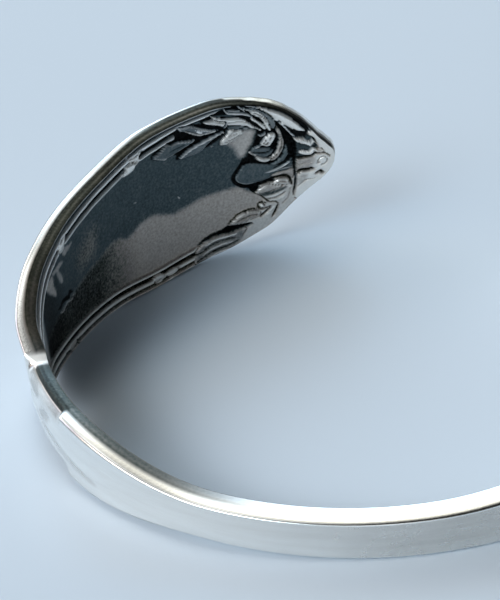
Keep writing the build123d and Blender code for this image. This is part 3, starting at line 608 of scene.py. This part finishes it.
def depth_inside(along, across, line, reach):
    """Which points are near a closed line, and how far inside it they are, less than 0 outside."""
    index, away, way = near_line(along, across, line, reach)
    s, v = along[index], across[index]
    inside = np.zeros(len(index), bool)
    for a, b in zip(line[:-1], line[1:]):
        crosses = (a[1] > v) != (b[1] > v)
        if a[1] != b[1]:
            inside ^= crosses & (s < a[0] + (v - a[1]) * (b[0] - a[0]) / (b[1] - a[1]))
    return index, np.where(inside, np.abs(away), -np.abs(away))


def lay_plate(face, top, body, edge, places):
    """A raised plate with a rounded edge, and a dark cut that parts it from what lies below."""
    index, depth = depth_inside(face["along"], face["across"], loop(places), 2 * MOAT)
    on = depth > 0
    cut = eased(-depth / MOAT)
    rise = top * (PLATE_STEP + (1 - PLATE_STEP) * rounded(depth / EDGE_ROUND))
    # A brighter line on the rounded edge: rubbed silver and painted highlight
    shade = body + (edge - body) * np.exp(-(((depth - EDGE_LINE) / EDGE_SPREAD) ** 2))
    face["height"][index] = np.where(on, rise, face["height"][index] * cut)
    # The cut is darkened as black oxide and painted shade in the recess
    face["shade"][index] = np.where(on, shade, face["shade"][index] * (0.2 + 0.8 * cut))
    face["warmth"][index] = np.where(on, PLATE_WARMTH * (body > BRIGHT_FROM), face["warmth"][index])


def lay_line(face, top, shade, width, places):
    """A raised or a cut line with thin ends."""
    index, away, way = near_line(face["along"], face["across"], spline(places), width)
    half = width / 2 * (1 - 0.5 * np.abs(2 * way - 1) ** 3)
    share = np.clip(1.25 - (np.abs(away) / half) ** 2, 0, 1)
    face["height"][index] += (top - face["height"][index]) * share
    face["shade"][index] += (shade - face["shade"][index]) * share


def lay_stain(face, shade, warmth, softness, places):
    """A flat patch of another shade with a soft edge."""
    index, depth = depth_inside(face["along"], face["across"], loop(places), softness)
    share = eased(depth / softness + 0.5)
    face["shade"][index] += (shade - face["shade"][index]) * share
    face["warmth"][index] += (warmth - face["warmth"][index]) * share


LAY = {"plate": lay_plate, "line": lay_line, "stain": lay_stain}


def border(face, side, inset):
    """Reeds that follow the edge."""
    along = face["along"]
    shift = np.interp(along, REED_SHIFT["along"], REED_SHIFT["shift"]) if side > 0 else 0.0
    shifted = inset - shift * np.clip((inset - SHIFT_FROM) / SHIFT_OVER, 0, 1)
    place = np.where(inset > SHIFT_FROM, shifted, inset)
    reeds = np.clip((along - REEDS_FROM[side]) / REED_FADE, 0, 1)
    inner = np.clip((along - INNER_REED_FROM[side]) / REED_FADE, 0, 1)
    reeds = np.where(place > INNER_REED, inner, reeds)
    outer = np.interp(place, BORDER["inset"], BORDER["outer"])
    height = np.maximum(outer, np.interp(place, BORDER["inset"], BORDER["inner"]))
    within = np.clip((BORDER["inset"][-1] - place) / REED_END_FADE, 0, 1) * reeds
    edge = np.interp(place, (0.0, 0.08, 0.2), (1.0, 0.95, 0.0))
    face["height"] = np.maximum(height * reeds, edge)
    shade = np.interp(place, BORDER["inset"], BORDER["shade"])
    face["shade"] += (shade - face["shade"]) * within
    face["shade"] = np.maximum(face["shade"], 0.55 * edge)


def field(face):
    """The sunk field's tarnish, cold above and warm below, and painted shade towards the shoulder."""
    along, across = face["along"], face["across"]
    edge = np.interp(along, *zip(*WARM_EDGE))
    warm = eased((edge - across) / WARM_WIDTH + 0.5)
    # Painted shade: the warm tarnish fades and the field darkens towards the shoulder
    painted_shade_fade = eased((along - WARM_FADES_FROM) / WARM_FADES_OVER) * warm
    face["warmth"] = warm * (1 - 0.5 * painted_shade_fade)
    face["shade"] = COLD_SHADE + (WARM_SHADE - COLD_SHADE) * warm * (1 - painted_shade_fade)
    face["shade"] *= 1 - 0.4 * eased((along - PAINTED_SHADE_FROM) / PAINTED_SHADE_OVER) - 0.30 * painted_shade_fade
    bare = eased((along - SHOULDER_SHADE_FROM) / SHOULDER_SHADE_OVER)
    face["shade"] += (SHOULDER_SHADE - face["shade"]) * bare


def ornament(along, across, inset, side):
    """Height, shade and warmth of the ornamented face at each point."""
    face = {"along": along, "across": across}
    field(face)
    border(face, side, inset)
    for kind, first, second, third, *places in ORNAMENT:
        LAY[kind](face, first, second, third, places)
    return face


def spaced(start, finish, spacing):
    """Even places from start up to, but not at, finish."""
    count = max(1, round((finish - start) / spacing))
    return list(np.linspace(start, finish, count + 1)[:-1])


def rows():
    """Places along the edge that the rows leave from, closer where an end is rounded."""
    tip = [TIP_ROUND * share for share in TIP_ROWS]
    end = [HANDLE_LENGTH - END_ROUND * share for share in END_ROWS]
    shoulder = PANEL_LENGTH + SHOULDER_RUN
    places = tip + spaced(TIP_ROUND, TIP_STRETCH, TIP_SPACING)
    places += spaced(TIP_STRETCH, PANEL_LENGTH, PANEL_SPACING)
    places += spaced(PANEL_LENGTH, shoulder, SHOULDER_RUN / 6)
    step = SHOULDER_END - SHOULDER_BLEND
    places += spaced(shoulder, step, LEAF_SPACING)
    places += spaced(step, SHOULDER_END, SHOULDER_BLEND / 6)
    places += spaced(SHOULDER_END, PLAIN_FROM, LEAF_SPACING)
    places += spaced(PLAIN_FROM, HANDLE_LENGTH - END_ROUND, STEM_SPACING)
    return np.array(places + end)


def row_ends(place):
    """Where rows that leave the edge squarely meet the middle line, in order."""
    before = np.clip(place - SLOPE_STEP, 0, HANDLE_LENGTH)
    after = np.clip(place + SLOPE_STEP, 0, HANDLE_LENGTH)
    slope = (half_width(after) ** 2 - half_width(before) ** 2) / (after - before) / 2
    return np.sort(np.minimum(place + np.maximum(slope, 0), HANDLE_LENGTH - END_ROUND))


def flat_handle(side):
    """Flat points of one half: where each is along and across, its inset, and which face it is on."""
    places = rows()
    width = side_width(places, side)
    middle = row_ends(places)
    reach = np.hypot(middle - places, width)
    squeeze = np.minimum(1, reach / BORDER_NEEDS)
    room = (reach / squeeze - BORDER_ROOM)[:, None]
    lines = np.linspace(1, 0, BACK_LINES + 1)
    reeds = np.repeat([BORDER["inset"][::-1]], len(places), axis=0)
    back = np.hstack([BORDER_ROOM + room * lines, reeds])
    wall = wall_values("inset", places)
    lines = np.linspace(0, 1, FRONT_LINES + 1)
    front = np.hstack([np.repeat([FRONT_BORDER], len(places), axis=0), BORDER_ROOM + room * lines])
    inset = np.hstack([back, wall, front])
    face = np.repeat([BACK, WALL_FACE, FRONT], [back.shape[1], wall.shape[1], front.shape[1]])
    share = inset * (squeeze / reach)[:, None]
    along = places[:, None] + (middle - places)[:, None] * share
    across = width[:, None] * (1 - share)
    return places, along, across, inset, face


def wall_values(name, places):
    """One of the wall's measures, a row for each place along the handle."""
    panel, shoulder = on_panel(places)[:, None], on_shoulder(places)[:, None]
    stem = np.array(WALL["stem_" + name]) * (1 - shoulder) + np.array(WALL["shoulder_" + name]) * shoulder
    return np.array(WALL["panel_" + name]) * panel + stem * (1 - panel)


def wall_shade(along, share):
    """Shade of the wall: a dark bevel and ledge beside the wrist, tarnish and painted reflection, and a
    bright flat edge.
    """
    names = ("bevel", "line", "ledge", "flat", "round", "start")
    values = (np.interp(along, WALL_SHADE["along"], WALL_SHADE[name]) for name in names)
    bevel, line, ledge, flat, outer, start = values
    shade = bevel + (line - bevel) * np.exp(-(((share - WALL_LINE) / WALL_LINE_SPREAD) ** 2))
    shade = shade + (ledge - shade) * eased((share - start + LEDGE_WIDTH) / 0.08)
    shade = shade + (flat - shade) * eased((share - start + 0.03) / 0.06)
    return shade + (outer - shade) * eased((share - ROUND_FROM) / 0.04)


def blank_face(along, across, shade):
    """A face with no relief and one shade, for lines to be laid on."""
    return {
        "along": along.ravel(),
        "across": across.ravel(),
        "height": np.zeros(along.size),
        "shade": np.full(along.size, shade),
    }


def front_out(along, across, inset, height):
    """The outer face: the ornament cut less deep, a leaf below the shoulder and a thin edge there."""
    leaf = blank_face(along, across, 0.0)
    lay_line(leaf, 1.0, 1.0, SHOULDER_LEAF_WIDTH, SHOULDER_LEAF)
    near = np.clip(1 - inset / SHOULDER_DROP_REACH, 0, 1)
    drop = SHOULDER_DROP * on_shoulder(along) * near**1.5
    sunk = FRONT_DEPTH * on_panel(along) * (1 - height)
    return THICKNESS - sunk + SHOULDER_LEAF_HEIGHT * leaf["height"].reshape(along.shape) - drop


def plain_shade(along, across, inset):
    """Shade of the plain outer face: painted reflection along the stem, painted shade at the shoulder."""
    painted_shade = blank_face(along, across, 1.0)
    # Patches of painted shade at the shoulder
    for patch_shade, width, *way in SHOULDER_PAINTED_SHADE:
        lay_line(painted_shade, 0.0, patch_shade, width, way)
    # Painted shade along the shoulder's thin edge
    edge = SHOULDER_EDGE_PAINTED_SHADE * on_shoulder(along) * np.exp(-((inset / SHOULDER_EDGE_WIDTH) ** 2))
    tone_with_painted_shade = np.interp(along, STEM_SHADE["along"], STEM_SHADE["shade"])
    return tone_with_painted_shade * painted_shade["shade"].reshape(along.shape) * (1 - edge)


def half_grid(side):
    """One half of the handle: hoop points, and what each point's finish depends on."""
    places, along, across, inset, face = flat_handle(side)
    panel = on_panel(along)
    plain = 1 - panel
    laid = ornament(along.ravel(), side * across.ravel(), inset.ravel(), side)
    height, shade, warmth = (laid[name].reshape(along.shape) for name in ("height", "shade", "warmth"))
    back = FIELD_DEPTH * panel * (1 - height)
    out = np.where(face == BACK, back, front_out(along, across, inset, height))
    wall = face == WALL_FACE
    share = wall_values("out", places)
    out[:, wall] = THICKNESS * share
    front = face == FRONT
    tone_with_painted_shade = np.where(front, plain_shade(along, side * across, inset), 1.0)
    shade = np.where(front, 0.5 + 0.5 * shade, shade) * panel + plain * tone_with_painted_shade
    shade[:, wall] = wall_shade(along[:, wall], share)
    warmth[:, wall] = WALL_WARMTH + WALL_WARMER * eased((PANEL_LENGTH - along[:, wall]) / 2)
    notch = wall * np.interp(along, NOTCH_PLACES, NOTCH_HAZE)
    return {
        "points": bent(along, side * across, out),
        "along": along,
        "across": side * across,
        "face": np.repeat(face[None], along.shape[0], axis=0).astype(float),
        "shade": np.clip(shade, 0, 1),
        "warmth": np.clip(np.where(wall, warmth, warmth * panel + PLAIN_WARMTH * plain), 0, 1),
        "panel": panel * ~wall + notch,
    }


def quads(shape, start, mirrored):
    """Four corners of each face between neighbouring rows and columns."""
    number = start + np.arange(shape[0] * shape[1]).reshape(shape)
    corners = [number[:-1, :-1], number[:-1, 1:], number[1:, 1:], number[1:, :-1]]
    if mirrored:
        corners.reverse()
    return np.stack([c.ravel() for c in corners], axis=1)


def make_cuff():
    """The whole handle as one fine mesh, laid where the CAD solid lies."""
    halves = [half_grid(1), half_grid(-1)]
    shape = halves[0]["points"].shape[:2]
    size = shape[0] * shape[1]
    points = np.concatenate([half["points"].reshape(-1, 3) for half in halves]) @ rest_turn().T
    faces = np.concatenate([quads(shape, 0, False), quads(shape, size, True)])
    lowest, highest = points.min(axis=0), points.max(axis=0)
    middle = [(lowest[0] + highest[0]) / 2, (lowest[1] + highest[1]) / 2, lowest[2]]
    points = (points - middle) * MM
    mesh = bpy.data.meshes.new("handle_cuff_silver")
    mesh.from_pydata(points.tolist(), [], faces.tolist())
    for name in ("shade", "warmth", "panel", "along", "across", "face"):
        values = np.concatenate([half[name].ravel() for half in halves]).astype(np.float32)
        mesh.attributes.new(name, "FLOAT", "POINT").data.foreach_set("value", values)
    cuff = bpy.data.objects.new("handle_cuff_silver", mesh)
    bpy.context.scene.collection.objects.link(cuff)
    weld(cuff)
    mesh.shade_smooth()
    return cuff, middle


def weld(cuff):
    """Joins the two halves and the folded points at the ends into one closed mesh."""
    made = bmesh.new()
    made.from_mesh(cuff.data)
    bmesh.ops.remove_doubles(made, verts=made.verts, dist=WELD)
    bmesh.ops.dissolve_degenerate(made, edges=made.edges, dist=NO_LENGTH)
    bmesh.ops.recalc_face_normals(made, faces=made.faces)
    made.to_mesh(cuff.data)
    made.free()
    print("cuff", len(cuff.data.vertices), len(cuff.data.polygons), "open edges", open_edges(cuff.data))


def open_edges(mesh):
    """How many edges don't have a face on both sides."""
    used = np.zeros(len(mesh.edges), int)
    loops = np.zeros(len(mesh.loops), int)
    mesh.loops.foreach_get("edge_index", loops)
    np.add.at(used, loops, 1)
    return int((used != 2).sum())


class Nodes:
    """Short ways to add and join shader nodes."""

    def __init__(self, tree):
        self.tree = tree

    def add(self, kind, **settings):
        node = self.tree.nodes.new("ShaderNode" + kind)
        for name, value in settings.items():
            setattr(node, name, value)
        return node

    def join(self, source, target):
        self.tree.links.new(source, target)

    def attribute(self, name):
        return self.add("Attribute", attribute_name=name).outputs["Fac"]

    def math(self, operation, first, second=None, clamp=False):
        node = self.add("Math", operation=operation, use_clamp=clamp)
        for socket, value in zip(node.inputs, (first, second)):
            if isinstance(value, (int, float)):
                socket.default_value = value
            elif value is not None:
                self.join(value, socket)
        return node.outputs[0]

    def plus(self, first, second, clamp=False):
        return self.math("ADD", first, second, clamp)

    def minus(self, first, second, clamp=False):
        return self.math("SUBTRACT", first, second, clamp)

    def times(self, first, second):
        return self.math("MULTIPLY", first, second)

    def noise(self, vector, scale, detail):
        node = self.add("TexNoise")
        node.inputs["Scale"].default_value = scale
        node.inputs["Detail"].default_value = detail
        node.inputs["Roughness"].default_value = NOISE_ROUGHNESS
        self.join(vector, node.inputs["Vector"])
        return node.outputs["Fac"]

    def ramp(self, share, colours):
        node = self.add("ValToRGB")
        elements = node.color_ramp.elements
        while len(elements) < len(colours):
            elements.new(0.5)
        for element, (place, colour) in zip(elements, colours):
            element.position = place
            element.color = (*colour, 1)
        self.join(share, node.inputs[0])
        return node.outputs["Color"]

    def glow(self, share, strength):
        node = self.add("VectorMath", operation="SCALE")
        node.inputs[0].default_value = strength
        self.join(share, node.inputs["Scale"])
        return node.outputs[0]

    def mix(self, share, first, second):
        node = self.add("Mix", data_type="RGBA")
        for number, source in zip((0, 6, 7), (share, first, second)):
            self.join(source, node.inputs[number])
        return node.outputs[2]


# Colour of the silver at each shade, where its tarnish is cold and where it is warm
COLD_RAMP = (
    (0, (0.0008, 0.0009, 0.001)),
    (0.1, (0.012, 0.014, 0.015)),
    (0.22, (0.06, 0.086, 0.096)),
    (0.5, (0.34, 0.365, 0.375)),
    (0.75, (0.7, 0.705, 0.7)),
    (1, (0.99, 0.99, 0.97)),
)
WARM_RAMP = (
    (0, (0.001, 0.0009, 0.0007)),
    (0.1, (0.016, 0.015, 0.01)),
    (0.22, (0.08, 0.078, 0.056)),
    (0.5, (0.405, 0.356, 0.32)),
    (0.75, (0.73, 0.705, 0.66)),
    (1, (0.99, 0.975, 0.93)),
)
NOISE_ROUGHNESS = 0.6
GRAIN_SCALE = 3800.0
GRAIN_STRENGTH = 0.25
GRAIN_HEIGHT = 0.00003
CLOUD_SCALE = 500.0
STREAKS_ALONG = 0.12
STREAKS_ACROSS = 1.1
STREAK_SHADE = 0.22
SPECKLE = 0.26
RUST = 0.6
MOTTLE = 0.08


def polish_streaks(n, ornamented):
    """Fine streaks that run along the plain outer face."""
    spread = n.add("CombineXYZ")
    n.join(n.times(n.attribute("along"), STREAKS_ALONG), spread.inputs[0])
    n.join(n.times(n.attribute("across"), STREAKS_ACROSS), spread.inputs[1])
    n.join(n.attribute("face"), spread.inputs[2])
    streak = n.minus(n.noise(spread.outputs[0], 1.0, 4.0), 0.5)
    on_front = n.minus(n.attribute("face"), 1.0, clamp=True)
    plain_front = n.times(on_front, n.minus(1.0, ornamented))
    return n.times(streak, n.times(plain_front, STREAK_SHADE))


def tarnish(n, shade, dull, ornamented, grain, cloud):
    """Shade and warmth, with speckle, clouds and a ragged border where the warm tarnish ends."""
    warmth = n.attribute("warmth")
    rust = n.times(n.times(warmth, ornamented), RUST)
    speckle = n.times(n.minus(grain, 0.5), n.times(n.plus(SPECKLE, rust), dull))
    mottle = n.times(n.minus(cloud, 0.5), n.times(dull, MOTTLE))
    noise = n.times(n.minus(n.plus(grain, cloud), 1.0), 0.9)
    border = n.times(n.times(warmth, n.minus(1.0, warmth)), ornamented)
    ragged = n.times(noise, n.times(border, dull))
    tone_with_painted_shade = n.plus(n.plus(shade, n.plus(speckle, ragged)), mottle, clamp=True)
    warm = n.plus(warmth, n.times(noise, n.times(dull, 0.5)), clamp=True)
    return tone_with_painted_shade, warm


def silver_material():
    """Worn silver: bright rims and ridges, satin and dark where tarnish sits and where shade is painted."""
    material = bpy.data.materials.new("worn_silver")
    material.use_nodes = True
    n = Nodes(material.node_tree)
    shader = material.node_tree.nodes["Principled BSDF"]
    place = n.add("TexCoord").outputs["Object"]
    grain = n.noise(place, GRAIN_SCALE, 3.0)
    cloud = n.noise(place, CLOUD_SCALE, 4.0)
    ornamented = n.attribute("panel")
    shade = n.plus(n.attribute("shade"), polish_streaks(n, ornamented), clamp=True)
    dull = n.minus(1.0, shade)
    tone_with_painted_shade, warm = tarnish(n, shade, dull, ornamented, grain, cloud)
    colour = n.mix(warm, n.ramp(tone_with_painted_shade, COLD_RAMP), n.ramp(tone_with_painted_shade, WARM_RAMP))
    n.join(colour, shader.inputs["Base Color"])
    n.join(n.minus(1.0, n.times(ornamented, 0.5)), shader.inputs["Metallic"])
    n.join(n.times(tone_with_painted_shade, 0.5), shader.inputs["Specular IOR Level"])
    rough = n.plus(n.times(dull, 0.25), n.times(cloud, 0.08))
    satin = n.plus(0.18, n.times(ornamented, 0.08))
    n.join(n.plus(rough, satin), shader.inputs["Roughness"])
    bump = n.add("Bump")
    bump.inputs["Strength"].default_value = GRAIN_STRENGTH
    bump.inputs["Distance"].default_value = GRAIN_HEIGHT
    n.join(grain, bump.inputs["Height"])
    n.join(bump.outputs[0], shader.inputs["Normal"])
    return material


FLOOR_COLOUR = (0.62, 0.71, 0.80)
FLOOR_REACH = 3.0


def floor_material():
    """Pale, slightly blue and dull."""
    material = bpy.data.materials.new("pale_sheet")
    material.use_nodes = True
    shader = material.node_tree.nodes["Principled BSDF"]
    shader.inputs["Base Color"].default_value = (*FLOOR_COLOUR, 1)
    shader.inputs["Roughness"].default_value = 0.7
    return material


def make_floor():
    """A plain pale sheet under the cuff."""
    far = FLOOR_REACH
    corners = [(-far, -far, 0), (far, -far, 0), (far, far, 0), (-far, far, 0)]
    mesh = bpy.data.meshes.new("floor")
    mesh.from_pydata(corners, [], [(0, 1, 2, 3)])
    floor = bpy.data.objects.new("floor", mesh)
    bpy.context.scene.collection.objects.link(floor)
    floor.data.materials.append(floor_material())


def make_camera(middle):
    """The photograph's viewpoint, tilted with the cuff onto the floor."""
    up, roll = math.radians(CAMERA_ELEVATION), math.radians(CAMERA_ROLL)
    back = np.array([0, -math.cos(up), math.sin(up)])
    level = np.array([1.0, 0, 0])
    upright = np.cross(level, -back)
    right = level * math.cos(roll) + upright * math.sin(roll)
    above = upright * math.cos(roll) - level * math.sin(roll)
    turn = rest_turn()
    place = (turn @ (np.array(CAMERA_TARGET) + back * CAMERA_DISTANCE) - middle) * MM
    matrix = Matrix.Identity(4)
    for column, axis in enumerate((right, above, back)):
        for row, value in enumerate(turn @ axis):
            matrix[row][column] = value
    for row, value in enumerate(place):
        matrix[row][3] = value
    data = bpy.data.cameras.new("camera")
    data.sensor_width = SENSOR
    data.lens = CAMERA_FOCUS * SENSOR / IMAGE_LONG_SIDE
    data.clip_start, data.clip_end = 0.01, 20
    camera = bpy.data.objects.new("camera", data)
    camera.matrix_world = matrix
    bpy.context.scene.collection.objects.link(camera)
    bpy.context.scene.camera = camera


# Soft patches of the room's light: azimuth and height in degrees, how tightly each is gathered,
# and its strength in red, green and blue
ROOM = (
    (205, 34, 40, (7.6, 6.3, 5.2)),
    (225, 34, 40, (8.8, 10.4, 11.6)),
    (165, 34, 40, (1.4, 1.4, 1.8)),
    (140, 34, 40, (3.1, 3, 2.8)),
    (100, 34, 34, (3.3, 4.4, 5.5)),
    (70, 24, 40, (1.3, 1.4, 1.35)),
    (90, 56, 40, (1.7, 1.65, 1.45)),
    (148, 70, 60, (1.9, 1.95, 1.95)),
    (270, 12, 40, (0.9, 0.95, 1)),
    (268, 30, 40, (0.8, 0.85, 0.9)),
    (150, 12, 40, (1, 1.15, 1.3)),
)
HORIZON = {"gather": 10.0, "strength": (0.22, 0.25, 0.28)}


def make_world():
    """A dim room: the large window is to the left, and paler patches stand around the cuff."""
    world = bpy.data.worlds.new("room")
    bpy.context.scene.world = world
    world.use_nodes = True
    n = Nodes(world.node_tree)
    direction = n.add("TexCoord").outputs["Generated"]
    parts = n.add("SeparateXYZ")
    n.join(direction, parts.inputs[0])
    low = n.math("SUBTRACT", 1.0, n.math("ABSOLUTE", parts.outputs["Z"]))
    total = n.glow(n.math("POWER", low, HORIZON["gather"]), HORIZON["strength"])
    for azimuth, height, gather, strength in ROOM:
        around, up = math.radians(azimuth), math.radians(height)
        facing = n.add("VectorMath", operation="DOT_PRODUCT")
        level = math.cos(up)
        facing.inputs[1].default_value = (level * math.cos(around), level * math.sin(around), math.sin(up))
        n.join(direction, facing.inputs[0])
        near = n.math("POWER", n.math("MAXIMUM", facing.outputs["Value"], 0.0), gather)
        both = n.add("VectorMath", operation="ADD")
        n.join(total, both.inputs[0])
        n.join(n.glow(near, strength), both.inputs[1])
        total = both.outputs[0]
    n.join(total, world.node_tree.nodes["Background"].inputs["Color"])


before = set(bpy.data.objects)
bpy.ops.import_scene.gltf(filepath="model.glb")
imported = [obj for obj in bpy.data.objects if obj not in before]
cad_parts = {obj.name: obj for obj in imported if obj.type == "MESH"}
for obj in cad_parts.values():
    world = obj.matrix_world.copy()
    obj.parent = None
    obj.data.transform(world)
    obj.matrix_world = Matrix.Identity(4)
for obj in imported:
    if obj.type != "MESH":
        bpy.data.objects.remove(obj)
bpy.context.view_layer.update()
cuff, middle = make_cuff()
cuff.data.materials.append(silver_material())
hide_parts("handle_cuff")
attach(cuff, "root")
make_floor()
make_camera(middle)
bpy.context.scene.view_settings.view_transform = "Standard"
make_world()
